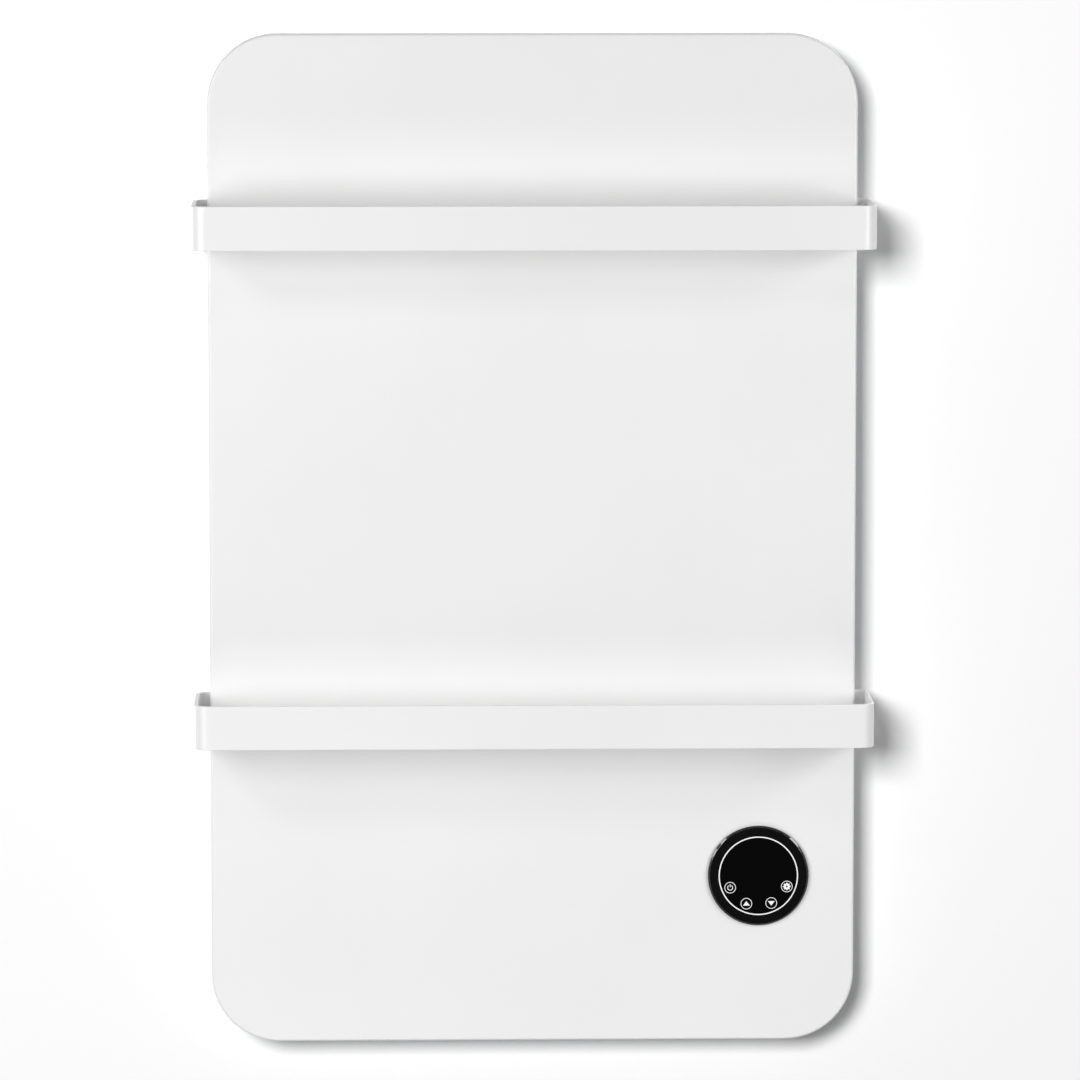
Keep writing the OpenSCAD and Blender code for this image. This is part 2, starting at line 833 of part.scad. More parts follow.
// A strip bent round all four corners, from lug to lug, with drilled and rounded lugs
module towel_bar(top) {
    bend = bar_bend_r - bar_strip_t / 2;
    middle = top - bar_strip_h / 2;
    lug_run = bar_w / 2 - bar_bend_r - lug_end_x;
    arm_run = bar_front - lug_back - 2 * bar_bend_r;
    front_run = bar_w - 2 * bar_bend_r;
    end_r = bar_strip_h / 4;
    difference() {
        translate([lug_end_x, -lug_back - bar_strip_t / 2, middle])
            mirror([0, 1, 0])
                swept([[lug_run, 90], [arm_run, 90], [front_run, 90], [arm_run, 90], [lug_run, 0]], bend)
                    strip_section();
        for (side = [-1, 1]) {
            for (x = lug_screws)
                drill(side * x, middle, lug_hole_d, lug_back - cut, wall_gap + cut);
            from_wall(lug_back - cut, wall_gap + cut)
                translate([side * lug_end_x, middle])
                    difference() {
                        square([2 * end_r, bar_strip_h + cut], center = true);
                        translate([side * end_r * 2, 0])
                            rounded_rect(4 * end_r, bar_strip_h, end_r);
                    }
        }
    }
}

module upper_towel_bar() {
    color("white")
        towel_bar(upper_bar_top);
}

module lower_towel_bar() {
    color("white")
        towel_bar(lower_bar_top);
}

// Button-head socket screws behind the lugs
module towel_bar_screws() {
    color("silver")
        for (side = [-1, 1], x = lug_screws, z = bar_middles)
            difference() {
                turned(side * x, z)
                    union() {
                        translate([0, lug_back - lug_head_h])
                            square([lug_head_d / 2 - lug_head_h / 2, lug_head_h]);
                        translate([lug_head_d / 2 - lug_head_h / 2, lug_back - lug_head_h / 2])
                            circle(lug_head_h / 2);
                        translate([0, lug_back - lug_head_h / 2])
                            square([lug_head_d / 2, lug_head_h / 2]);
                        translate([0, lug_back - 0.1])
                            square([lug_screw_d / 2, lug_screw_len]);
                    }
                translate([side * x, -lug_back + lug_head_h + cut, z])
                    rotate([90, 0, 0])
                        cylinder(d = 0.6 * lug_screw_d, h = lug_head_h * 0.6 + cut, $fn = 6);
            }
}

// Touch control

module display_gasket() {
    color("dimgray")
        turned(touch_x, touch_z)
            translate([skirt_r + 0.6, panel_front])
                square([touch_d / 2 - skirt_r - 1.2, gasket_t]);
}

// Turned bezel: a rim with a bevelled front edge, a seat for the glass, a skirt and a shoulder for the board
module display_bezel() {
    rim_r = touch_d / 2;
    bevel = [touch_rim * 0.7, touch_proud * 0.28];
    ease = 0.25;
    flange_back = panel_front + gasket_t;
    color("dimgray")
        turned(touch_x, touch_z)
            difference() {
                union() {
                    polygon([[skirt_inner, flange_back], [rim_r - ease, flange_back], [rim_r, flange_back + ease],
                        [rim_r, touch_front - bevel[1] - ease], [rim_r - ease / 2, touch_front - bevel[1]],
                        [rim_r - bevel[0], touch_front - ease / 2], [rim_r - bevel[0] - ease, touch_front],
                        [skirt_inner, touch_front]]);
                    translate([skirt_inner, skirt_end])
                        square([skirt_wall, flange_back - skirt_end + seat_play]);
                    translate([skirt_inner - 1.4, display_pcb_front])
                        square([2, 1.5]);
                }
                translate([0, glass_back])
                    square([glass_r + seat_play, glass_t + cut]);
            }
}

module display_glass() {
    edge = 0.4;
    color("black")
        turned(touch_x, touch_z)
            polygon([[0, glass_back], [glass_r, glass_back], [glass_r, touch_front - edge],
                [glass_r - edge, touch_front], [0, touch_front]]);
}

// Nut on the skirt, with six notches for its spanner
module bezel_nut() {
    nut_r = touch_d / 2 + 3;
    color("gray")
        difference() {
            turned(touch_x, touch_z)
                translate([skirt_r + seat_play, nut_back])
                    square([nut_r - skirt_r - seat_play, nut_t]);
            for (turn = [0 : 60 : 300])
                translate([touch_x, -(nut_back + nut_t / 2), touch_z])
                    rotate([0, turn, 0])
                        translate([nut_r, 0, 0])
                            cube([3, nut_t + cut, 5], center = true);
        }
}

// Clear ring that carries light from the board up to the glass
module light_guide() {
    color("whitesmoke")
        turned(touch_x, touch_z)
            union() {
                translate([ring_d / 2 - ring_w, display_pcb_front])
                    square([ring_w, glass_back - display_pcb_front]);
                translate([ring_d / 2 - ring_w - 1, display_pcb_front])
                    square([ring_w + 1, 1]);
            }
}

module display_board() {
    color("darkgreen")
        drill(touch_x, touch_z, 2 * (skirt_inner - 0.2), display_pcb_back, display_pcb_front);
}

// Spring ring that snaps into the skirt behind the board
module board_retainer() {
    retainer_t = 1.6;
    color("silver")
        difference() {
            turned(touch_x, touch_z)
                translate([skirt_inner - 2.2, display_pcb_back - retainer_t])
                    square([2.1, retainer_t]);
            translate([touch_x, -(display_pcb_back - retainer_t / 2), touch_z + skirt_inner])
                cube([6, retainer_t + cut, 8], center = true);
        }
}

// Three-digit module under the glass
module display_module() {
    size = [38, 19];
    lift = 8;
    front = glass_back - 0.6;
    color("black")
        difference() {
            from_wall(display_pcb_front, front)
                translate([touch_x, touch_z + lift])
                    square(size, center = true);
            from_wall(front - 0.5, front + cut)
                for (i = [-1, 0, 1])
                    translate([touch_x + i * 12, touch_z + lift])
                        difference() {
                            square([9, 15], center = true);
                            for (j = [-1, 1])
                                translate([0, j * 3.3])
                                    square([5, 4.6], center = true);
                        }
        }
}

module touch_springs() {
    color("silver")
        for (a = key_angles)
            turned(touch_x + key_radius * cos(a), touch_z + key_radius * sin(a))
                translate([key_spring_d / 2 - 0.6, display_pcb_front])
                    square([0.6, glass_back - display_pcb_front]);
}

// Flat cable in an S from the power board to the display board
module ribbon_cable() {
    bend = 1.5;
    reach = display_pcb_back - board_front - 2 * bend;
    color("lightgray")
        side_plane(touch_x)
            translate([board_front, touch_z - 24, 0])
                swept([[reach / 2, 90], [8, -90], [reach / 2, 0]], bend)
                    square([0.8, 14], center = true);
}

// Control box

function housing_screw_points() =
    [for (x = [-1, 1], z = [-1, 1])
        [touch_x + x * (flange_w / 2 - 5.5), box_z + z * (flange_h / 2 - 5.5)]];

function lid_screw_points() =
    [for (x = [-1, 1], z = [-1, 1]) [touch_x + x * lid_post[0], box_z + z * lid_post[1]]];

function board_screw_points() =
    [for (x = [-1, 1], z = [-1, 1]) [touch_x + x * board_post[0], box_z + z * board_post[1]]];

module box_outline(grow) {
    translate([touch_x, box_z])
        rounded_rect(box_w + 2 * grow, box_h + 2 * grow, box_r + grow);
}

// Moulded tub, open to the wall, with a flange that seats on the rear cover
module control_housing() {
    color("whitesmoke")
        difference() {
            union() {
                difference() {
                    union() {
                        from_wall(box_rim, box_front)
                            box_outline(0);
                        from_wall(wall_gap - flange_t, wall_gap)
                            box_outline(box_flange);
                    }
                    from_wall(box_rim - cut, box_floor)
                        box_outline(-box_wall);
                }
                for (p = lid_screw_points())
                    drill(p[0], p[1], lid_post_d, box_rim, box_floor + box_wall / 2);
                for (p = board_screw_points())
                    drill(p[0], p[1], 6, board_front, box_floor + box_wall / 2);
            }
            drill(touch_x, touch_z, 2 * skirt_r + 2.4, board_front, box_front + cut);
            for (p = lid_screw_points())
                drill(p[0], p[1], 2.6, box_rim - cut, box_rim + 12);
            for (p = board_screw_points())
                drill(p[0], p[1], 2.2, board_front - cut, board_front + 8);
            for (p = housing_screw_points())
                drill(p[0], p[1], housing_screw_d + 2 * hole_play, wall_gap - flange_t - cut, wall_gap + cut);
            translate([switch_wall_x - box_wall - cut, -switch_depth - switch_body_w / 2 - seat_play,
                box_z - switch_body_l / 2 - seat_play])
                cube([box_wall + 2 * cut, switch_body_w + 2 * seat_play, switch_body_l + 2 * seat_play]);
            translate([touch_x, -gland_depth, box_bottom - cut])
                cylinder(r = gland_thread_r + seat_play, h = box_wall + 2 * cut);
            for (x = concat(cutout_lead_x, [sensor_x, bus_tab_x]))
                translate([x, -lead_depth, box_top - box_wall - cut])
                    cylinder(r = lead_r + seat_play, h = box_wall + 2 * cut);
            translate([touch_x - box_w / 2 - cut, -lead_depth, far_lead_z])
                rotate([0, 90, 0])
                    cylinder(r = lead_r + seat_play, h = box_wall + 2 * cut);
            translate([earth_x, -earth_lead_depth, box_bottom - cut])
                cylinder(r = lead_r + seat_play, h = box_wall + 2 * cut);
        }
}

module housing_screws() {
    color("silver")
        for (p = housing_screw_points())
            pan_screw(p[0], p[1], housing_screw_d, 7, wall_gap - flange_t);
}

// The lid's edge: a slab with a rolled rear edge
module lid_section(r) {
    roll = 1.2;
    translate([0, lid_back])
        square([r - roll, lid_t]);
    translate([0, lid_back + roll])
        square([r, lid_t - roll]);
    translate([r - roll, lid_back + roll])
        circle(roll);
}

module control_cover() {
    lid_grow = 1;
    lid_w = box_w + 2 * lid_grow;
    lid_h = box_h + 2 * lid_grow;
    lid_r = box_r + lid_grow;
    lip_t = 1.6;
    lip_h = 3;
    color("whitesmoke")
        difference() {
            union() {
                translate([touch_x, 0, box_z])
                    rotate([90, 0, 0])
                        swept_rim(lid_w, lid_h, lid_r)
                            lid_section(lid_r);
                from_wall(lid_back, box_rim)
                    translate([touch_x, box_z])
                        square([lid_w - 2 * lid_r, lid_h - 2 * lid_r], center = true);
                difference() {
                    from_wall(box_rim - cut, box_rim + lip_h)
                        box_outline(-box_wall - seat_play);
                    from_wall(box_rim, box_rim + lip_h + cut)
                        box_outline(-box_wall - seat_play - lip_t);
                    for (p = lid_screw_points())
                        drill(p[0], p[1], lid_post_d + 1, box_rim, box_rim + lip_h + cut);
                    translate([switch_wall_x - box_wall - 4, -box_rim - lip_h - cut, box_z - switch_l / 2])
                        cube([8, lip_h + cut, switch_l]);
                    translate([touch_x - gland_hex_r - 1, -box_rim - lip_h - cut, box_bottom])
                        cube([2 * gland_hex_r + 2, lip_h + cut, box_wall + 4]);
                }
            }
            from_wall(lid_back - cut, box_rim + cut)
                for (x = [-1, 1], z = [-2.5 : 2.5])
                    translate([touch_x + x * 22, box_z + z * 8])
                        slot(30, 3);
            for (p = lid_screw_points())
                drill(p[0], p[1], 3 + 2 * hole_play, lid_back - cut, box_rim + cut);
        }
}

module control_cover_screws() {
    color("silver")
        for (p = lid_screw_points())
            pan_screw(p[0], p[1], 2.5, lid_screw_len, lid_back);
}

// Power board and what stands on it

module power_board() {
    color("darkgreen")
        difference() {
            from_wall(board_back, board_front)
                translate([touch_x, box_z])
                    rounded_rect(board_w, board_h, 2);
            for (p = board_screw_points())
                drill(p[0], p[1], 2.8, board_back - cut, board_front + cut);
            for (p = lid_screw_points())
                drill(p[0], p[1], lid_post_d + 1, board_back - cut, board_front + cut);
        }
}

module power_board_screws() {
    color("silver")
        for (p = board_screw_points())
            pan_screw(p[0], p[1], 2.1, 7, board_back);
}

// A place on the board, as shares of the way from its middle to its edges
function board_place(across, up) = [touch_x + across * board_w / 2, box_z + up * board_h / 2];

// A block on the board's rear face
module on_board(place, size, height) {
    from_wall(board_back - height, board_back)
        translate(place)
            rounded_rect(size[0], size[1], 0.8);
}

module relay() {
    color("royalblue")
        on_board(board_place(-0.565, 0.46), [16, 20], 14);
}

module power_supply() {
    color("black")
        on_board(board_place(0.22, 0.52), [34, 22], 14);
}

module capacitors() {
    round_place = board_place(0.13, 0.08);
    color("steelblue") {
        on_board(board_place(-0.61, -0.12), [18, 8], 12);
        drill(round_place[0], round_place[1], 10, board_back - 13, board_back);
    }
}

// Five-way terminal block with a screw well and a wire mouth for each way
module terminal_block() {
    ways = 5;
    way = 5.5;
    height = 11;
    place = board_place(0, -0.65);
    color("seagreen")
        difference() {
            on_board(place, [ways * way + 1, 10], height);
            for (i = [0 : ways - 1])
                translate([place[0] + (i - (ways - 1) / 2) * way, 0, place[1]]) {
                    translate([0, -board_back + height - 3, 1.5])
                        rotate([-90, 0, 0])
                            cylinder(d = 3.6, h = 3 + cut);
                    translate([-1.7, -board_back + 2, -5 - cut])
                        cube([3.4, 4, 4 + cut]);
                }
        }
}

// Cable gland: body, hexagon and domed nut on one bore, with a locknut inside the box

module cable_gland() {
    hex_t = 4;
    dome_len = gland_len - hex_t;
    inside = box_wall + 6;
    color("dimgray")
        translate([touch_x, -gland_depth, box_bottom])
            difference() {
                union() {
                    translate([0, 0, -hex_t])
                        cylinder(r = gland_hex_r, h = hex_t, $fn = 6);
                    translate([0, 0, -gland_len])
                        rotate_extrude()
                            union() {
                                translate([0, 3])
                                    square([gland_thread_r + 1.2, dome_len - 3]);
                                square([gland_thread_r - 1.8, 3]);
                                translate([gland_thread_r - 1.8, 3])
                                    circle(3);
                            }
                    translate([0, 0, -1])
                        cylinder(r = gland_thread_r, h = inside + 1);
                }
                translate([0, 0, -gland_len - cut])
                    cylinder(d = gland_bore_d, h = gland_len + inside + 2 * cut);
            }
}

module gland_locknut() {
    color("dimgray")
        translate([touch_x, -gland_depth, box_bottom + box_wall])
            difference() {
                cylinder(r = gland_hex_r, h = 3, $fn = 6);
                translate([0, 0, -cut])
                    cylinder(r = gland_thread_r + seat_play, h = 3 + 2 * cut);
            }
}

// Mains switch

// Blocks measured from the switch's middle: out through the wall, depth and height
module switch_block(from, to, w, l) {
    translate([switch_wall_x + from, -switch_depth - w / 2, box_z - l / 2])
        cube([to - from, w, l]);
}

module switch_body() {
    color("black")
        difference() {
            union() {
                switch_block(0, switch_rise, switch_w, switch_l);
                switch_block(-switch_body_deep, cut / 2, switch_body_w, switch_body_l);
            }
            switch_block(-switch_body_deep + 1.5, switch_rise + cut, switch_body_w - 2 * switch_frame + 0.2,
                switch_body_l - 2 * switch_frame);
            translate([rocker_axis_x, -switch_depth, box_z])
                rotate([90, 0, 0])
                    cylinder(r = rocker_pin_r + 0.06, h = switch_body_w - 0.6, center = true);
        }
}

module switch_terminals() {
    color("gold")
        for (z = [-1, 1] * 3)
            translate([switch_wall_x - switch_body_deep - 6, -switch_depth - 0.4, box_z + z - 1.6])
                cube([6, 0.8, 3.2]);
}

// Off, with its lower half pressed in. It swings until its upper half is in, and its ends are round about its pins.
module rocker() {
    tilt = rocker_swing / 2;
    keel = 2.6;
    height = switch_rise + 1.2;
    half = rocker_l / 2;
    dip = half * tan(tilt) / 2;
    color("dimgray")
        translate([rocker_axis_x, -switch_depth, box_z])
            rotate([0, tilt, 0]) {
                rotate([90, 0, 0])
                    linear_extrude(rocker_w - rocker_play, center = true)
                        intersection() {
                            circle(half);
                            polygon([[height, half], [height - dip, 0], [height, -half], [0, -half],
                                [-keel, -1.2], [-keel, 1.2], [0, half]]);
                        }
                rotate([90, 0, 0])
                    cylinder(r = rocker_pin_r, h = switch_body_w - 0.8, center = true);
            }
}

// Thermal cut-out, sensor, leads and earth

module thermal_cutout() {
    color("saddlebrown")
        turned(cutout_x, cutout_z)
            union() {
                translate([0, film_back - cutout_t])
                    square([cutout_r - 1.5, cutout_t]);
                translate([0, film_back - 2])
                    square([cutout_r, 2]);
            }
}

module temperature_sensor() {
    color("black")
        from_wall(film_back - sensor_size[2], film_back)
            translate([sensor_x, sensor_z])
                rounded_rect(sensor_size[0], sensor_size[1], 1.2);
}

// A lead that leaves the power board, runs up behind the film and turns in to its end
module rising_lead(x, from_z, to_z, end_depth) {
    out = lead_depth - board_front - lead_bend;
    side_plane(x)
        translate([board_front, from_z, 0])
            swept([[out, 90], [to_z - from_z - 2 * lead_bend, -90],
                [end_depth - lead_depth - lead_bend, 0]], lead_bend)
                circle(lead_r);
}

module sensor_leads() {
    color("firebrick") {
        for (x = cutout_lead_x)
            rising_lead(x, lead_start_z, cutout_z, film_back - cutout_t);
        rising_lead(sensor_x, lead_start_z, sensor_z, film_back - sensor_size[2]);
    }
}

module heater_leads() {
    out = lead_depth - board_front - lead_bend;
    color("saddlebrown") {
        rising_lead(bus_tab_x, lead_start_z, bus_tab_z, bus_back);
        level_plane(far_lead_z)
            translate([board_front, -far_lead_x, 0])
                swept([[out, 90], [far_lead_x + bus_x - 2 * lead_bend, -90],
                    [bus_back - lead_depth - lead_bend, 0]], lead_bend)
                    circle(lead_r);
    }
}

// Stud through the rear cover with its nut
module earth_stud() {
    color("gold") {
        drill(earth_x, earth_z, earth_stud_d, wall_gap - 1, cover_inner + earth_stud_len);
        drill(earth_x, earth_z, earth_stud_d * 1.8, wall_gap - 1.4, wall_gap);
        translate([earth_x, -cover_inner, earth_z])
            rotate([90, 0, 0])
                cylinder(r = earth_nut_r, h = earth_tag_back - cover_inner, $fn = 6);
    }
}

// Lead with a ring tag on the stud's nut, run up through the box's bottom onto the power board
module earth_lead() {
    tag_front = earth_tag_back + earth_tag_t;
    lead_from = earth_z + earth_nut_r + 0.5;
    color("limegreen") {
        difference() {
            union() {
                drill(earth_x, earth_z, 2 * earth_nut_r, earth_tag_back, tag_front);
                from_wall(earth_tag_back, tag_front)
                    translate([earth_x, (earth_z + lead_from) / 2 + 1])
                        square([1.6 * lead_r, lead_from - earth_z + 2], center = true);
            }
            drill(earth_x, earth_z, earth_stud_d + 0.3, earth_tag_back - cut, tag_front + cut);
        }
        translate([earth_x, -earth_lead_depth, lead_from])
            cylinder(r = lead_r, h = earth_lead_end - lead_from);
    }
}

upper_wall_rail();
lower_wall_rail();
front_panel();
rear_cover();
rear_cover_screws();
heating_film();
bus_bars();
reflector_foil();
insulation_board();
upper_stiffener();
lower_stiffener();
bar_backing_plates();
upper_hanger();
lower_hanger();
hanger_rivets();
upper_towel_bar();
lower_towel_bar();
towel_bar_screws();
wall_buffers();
display_gasket();
display_bezel();
display_glass();
bezel_nut();
light_guide();
display_board();
board_retainer();
display_module();
touch_springs();
ribbon_cable();
control_housing();
housing_screws();
control_cover();
control_cover_screws();
power_board();
power_board_screws();
relay();
power_supply();
capacitors();
terminal_block();
cable_gland();
gland_locknut();
switch_body();
switch_terminals();
rocker();
thermal_cutout();
temperature_sensor();
heater_leads();
sensor_leads();
earth_stud();
earth_lead();
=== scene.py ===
"""Dresses the infrared panel heater: camera, stage, light, each part's finish and the marks printed on it.

Lengths are metres in the part's own frame: +Z up, +Y into the wall, which is the plane y = 0, and -Y out of the
heated front. Colours are linear.
"""

import math

import bpy
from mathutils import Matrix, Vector


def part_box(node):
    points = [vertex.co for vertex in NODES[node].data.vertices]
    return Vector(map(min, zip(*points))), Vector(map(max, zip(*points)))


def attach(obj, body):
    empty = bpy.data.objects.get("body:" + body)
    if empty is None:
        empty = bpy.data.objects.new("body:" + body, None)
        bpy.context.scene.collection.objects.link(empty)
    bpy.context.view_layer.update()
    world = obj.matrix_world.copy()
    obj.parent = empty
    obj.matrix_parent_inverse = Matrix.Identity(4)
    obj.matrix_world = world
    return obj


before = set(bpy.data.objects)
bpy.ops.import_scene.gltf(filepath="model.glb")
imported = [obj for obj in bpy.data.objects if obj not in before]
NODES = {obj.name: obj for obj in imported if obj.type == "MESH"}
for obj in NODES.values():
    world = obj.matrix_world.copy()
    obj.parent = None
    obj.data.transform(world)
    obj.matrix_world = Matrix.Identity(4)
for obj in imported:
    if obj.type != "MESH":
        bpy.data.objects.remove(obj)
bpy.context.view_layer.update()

MM = 0.001

# ---------------------------------------------------------------- camera

IMAGE_SIDE = 1080
FOCAL_PX = 6751.6
SENSOR = 36.0
CAMERA_PLACE = (-0.1387, -6.000, 0.7161)
CAMERA_TARGET = (0.00645, -0.050, 0.00138)
CLIP_NEAR, CLIP_FAR = 0.1, 60.0


def aim(thing, place, target):
    """Puts a camera or lamp at a place, looking at a target."""
    thing.location = place
    thing.rotation_mode = "QUATERNION"
    thing.rotation_quaternion = (Vector(target) - Vector(place)).to_track_quat("-Z", "Y")


def add_camera():
    data = bpy.data.cameras.new("camera")
    data.sensor_width = SENSOR
    data.lens = SENSOR * FOCAL_PX / IMAGE_SIDE
    data.clip_start, data.clip_end = CLIP_NEAR, CLIP_FAR
    camera = bpy.data.objects.new("camera", data)
    bpy.context.scene.collection.objects.link(camera)
    aim(camera, CAMERA_PLACE, CAMERA_TARGET)
    bpy.context.scene.camera = camera


# ---------------------------------------------------------------- node trees


class Tree:
    """A material's node tree, with short calls for the nodes that the finishes share."""

    def __init__(self, name):
        self.material = bpy.data.materials.new(name)
        self.material.use_nodes = True
        self.nodes = self.material.node_tree.nodes
        self.links = self.material.node_tree.links
        self.shader = self.nodes["Principled BSDF"]
        self.output = self.nodes["Material Output"]
        self.place = self.nodes.new("ShaderNodeTexCoord").outputs["Object"]

    def node(self, kind, **values):
        made = self.nodes.new(kind)
        for name, value in values.items():
            setattr(made, name, value)
        return made

    def put(self, socket, value):
        """Links a socket to another one, or sets its number or colour."""
        if isinstance(value, bpy.types.NodeSocket):
            self.links.new(value, socket)
        elif isinstance(value, (tuple, list)) and len(value) == 3 and socket.type == "RGBA":
            socket.default_value = (*value, 1.0)
        else:
            socket.default_value = value

    def stretched(self, stretch, turn=(0, 0, 0)):
        """The place with its axes stretched by shares, and turned in radians."""
        mapping = self.node("ShaderNodeMapping")
        self.put(mapping.inputs["Vector"], self.place)
        mapping.inputs["Scale"].default_value = stretch
        mapping.inputs["Rotation"].default_value = turn
        return mapping.outputs["Vector"]

    def noise(self, size, detail=2.0, roughness=0.5, distortion=0.0, at=None):
        """Noise whose lumps are about as large as size."""
        made = self.node("ShaderNodeTexNoise")
        self.put(made.inputs["Vector"], at or self.place)
        self.put(made.inputs["Scale"], 1 / size)
        self.put(made.inputs["Detail"], detail)
        self.put(made.inputs["Roughness"], roughness)
        self.put(made.inputs["Distortion"], distortion)
        return made.outputs["Fac"]

    def cells(self, size, feature="F1", output="Color", at=None):
        """A pattern of cells about as large as size."""
        made = self.node("ShaderNodeTexVoronoi", feature=feature)
        self.put(made.inputs["Vector"], at or self.place)
        self.put(made.inputs["Scale"], 1 / size)
        return made.outputs[output]

    def between(self, value, low, high, start=0.35, end=0.65):
        """Carries a value from start to end over to low to high, and keeps it there outside."""
        made = self.node("ShaderNodeMapRange")
        self.put(made.inputs["Value"], value)
        self.put(made.inputs["From Min"], start)
        self.put(made.inputs["From Max"], end)
        self.put(made.inputs["To Min"], low)
        self.put(made.inputs["To Max"], high)
        return made.outputs["Result"]

    def math(self, operation, a, b=0.0):
        made = self.node("ShaderNodeMath", operation=operation)
        self.put(made.inputs[0], a)
        self.put(made.inputs[1], b)
        return made.outputs["Value"]

    def blend(self, share, first, second):
        made = self.node("ShaderNodeMix", data_type="RGBA")
        self.put(made.inputs["Factor"], share)
        self.put(made.inputs["A"], first)
        self.put(made.inputs["B"], second)
        return next(s for s in made.outputs if s.type == "RGBA")

    def channel(self, vector, axis):
        made = self.node("ShaderNodeSeparateXYZ")
        self.put(made.inputs["Vector"], vector)
        return made.outputs[axis]

    def bump(self, height, depth, strength=1.0, over=None):
        """Raises the surface by height times depth, over another bump."""
        made = self.node("ShaderNodeBump")
        self.put(made.inputs["Height"], height)
        self.put(made.inputs["Distance"], depth)
        self.put(made.inputs["Strength"], strength)
        if over:
            self.put(made.inputs["Normal"], over)
        return made.outputs["Normal"]

    def finish(self, **sockets):
        """Sets the shader's sockets, named with _ for each space."""
        for name, value in sockets.items():
            self.put(self.shader.inputs[name.replace("_", " ")], value)
        return self.material


def shade(colour, share):
    """The colour made lighter or darker by a share."""
    return tuple(min(1.0, c * share) for c in colour)


# ---------------------------------------------------------------- the touch control's measures

TOUCH_X, TOUCH_Z = 201.5 * MM, -301 * MM
RING_OUTER, RING_INNER = 35.50 * MM, 34.50 * MM
# The glass's colour is darkest from its middle to the first of these distances past the ring's inner edge, and
# lighter from the second on: a painted reflection.
DARK_CLEAR, DARK_FADE = 0.5 * MM, 1.2 * MM

# ---------------------------------------------------------------- finishes

WHITE = (0.868, 0.868, 0.866)


def powder_coat(name, colour, roughness):
    """Baked powder: an even colour, orange peel a few millimetres wide and a fine grain on it."""
    t = Tree(name)
    cloud = t.noise(0.16, 3.0)
    grain = t.noise(0.55 * MM, 2.0, 0.6)
    peel = t.noise(3.2 * MM, 1.0)
    tone = t.blend(t.between(cloud, 0, 1), shade(colour, 0.985), shade(colour, 1.01))
    tone = t.blend(t.between(grain, 0, 0.5, 0.3, 0.7), tone, shade(colour, 0.965))
    lower = t.bump(peel, 0.05 * MM, 0.30)
    return t.finish(
        Base_Color=tone,
        Roughness=t.between(grain, roughness - 0.05, roughness + 0.06),
        Specular_IOR_Level=0.5,
        Normal=t.bump(grain, 0.03 * MM, 0.28, lower),
    )


def moulded(name, colour, roughness, grain=0.35 * MM, depth=0.02 * MM):
    """A moulded plastic or rubber with a fine eroded grain, a little cloudy in colour."""
    t = Tree(name)
    cloud = t.noise(14 * MM, 3.0)
    fine = t.noise(grain, 2.0, 0.6)
    return t.finish(
        Base_Color=t.blend(t.between(cloud, 0, 1), shade(colour, 0.92), shade(colour, 1.06)),
        Roughness=t.between(fine, roughness - 0.05, roughness + 0.05),
        Specular_IOR_Level=0.5,
        Normal=t.bump(fine, depth, 0.5),
    )


def rolled_metal(name, colour, roughness, along=(1, 1, 1)):
    """A plated or drawn metal with streaks along its rolling direction and dull clouds."""
    t = Tree(name)
    streak = t.noise(0.5 * MM, 3.0, 0.6, at=t.stretched(along))
    cloud = t.noise(18 * MM, 4.0, 0.55)
    tone = t.blend(t.between(cloud, 0, 1), shade(colour, 0.82), colour)
    tone = t.blend(t.between(streak, 0, 0.45), tone, shade(colour, 0.88))
    clouded = t.between(cloud, roughness + 0.04, roughness - 0.02)
    return t.finish(
        Base_Color=tone,
        Metallic=1.0,
        Roughness=t.math("ADD", t.between(streak, -0.07, 0.07), clouded),
        Normal=t.bump(streak, 0.008 * MM, 0.6),
    )


def galvanised(name):
    """Hot-dip zinc: feathered spangles of different greys and gloss."""
    t = Tree(name)
    wave = t.node("ShaderNodeTexNoise")
    t.put(wave.inputs["Vector"], t.place)
    t.put(wave.inputs["Scale"], 1 / (7 * MM))
    warp = t.node("ShaderNodeVectorMath", operation="MULTIPLY_ADD")
    t.put(warp.inputs[0], wave.outputs["Color"])
    warp.inputs[1].default_value = (5 * MM,) * 3
    t.put(warp.inputs[2], t.place)
    spangle = t.channel(t.cells(15 * MM, at=warp.outputs["Vector"]), "X")
    small = t.channel(t.cells(4.5 * MM, at=warp.outputs["Vector"]), "Y")
    crystal = t.blend(0.35, spangle, small)
    fine = t.noise(0.6 * MM, 2.0)
    return t.finish(
        Base_Color=t.blend(crystal, (0.43, 0.445, 0.46), (0.66, 0.675, 0.69)),
        Metallic=0.92,
        Roughness=t.math("ADD", t.between(crystal, 0.50, 0.34, 0, 1), t.between(fine, -0.03, 0.03)),
        Normal=t.bump(crystal, 0.02 * MM, 0.35, t.bump(fine, 0.01 * MM, 0.4)),
    )


def black_glass(name):
    """Glass printed black behind, with a painted reflection: its colour is darkest inside the ring and lighter
    beyond it. The lightest film of handling lies on it.
    """
    t = Tree(name)
    away = t.node("ShaderNodeVectorMath", operation="DISTANCE")
    t.put(away.inputs[0], t.stretched((1, 0, 1)))
    away.inputs[1].default_value = (TOUCH_X, 0, TOUCH_Z)
    # Painted reflection: lighter colour beyond the ring's inner edge, darker inside it.
    painted_reflection_zone = t.between(away.outputs["Value"], 0, 1, RING_INNER + DARK_CLEAR, RING_INNER + DARK_FADE)
    film = t.noise(9 * MM, 4.0, 0.6)
    return t.finish(
        Base_Color=t.blend(painted_reflection_zone, (0.0006, 0.0006, 0.0006), (0.0036, 0.0036, 0.0038)),
        Roughness=t.between(film, 0.035, 0.075),
        Specular_IOR_Level=0.03,
        Normal=t.bump(film, 0.002 * MM, 0.1),
    )


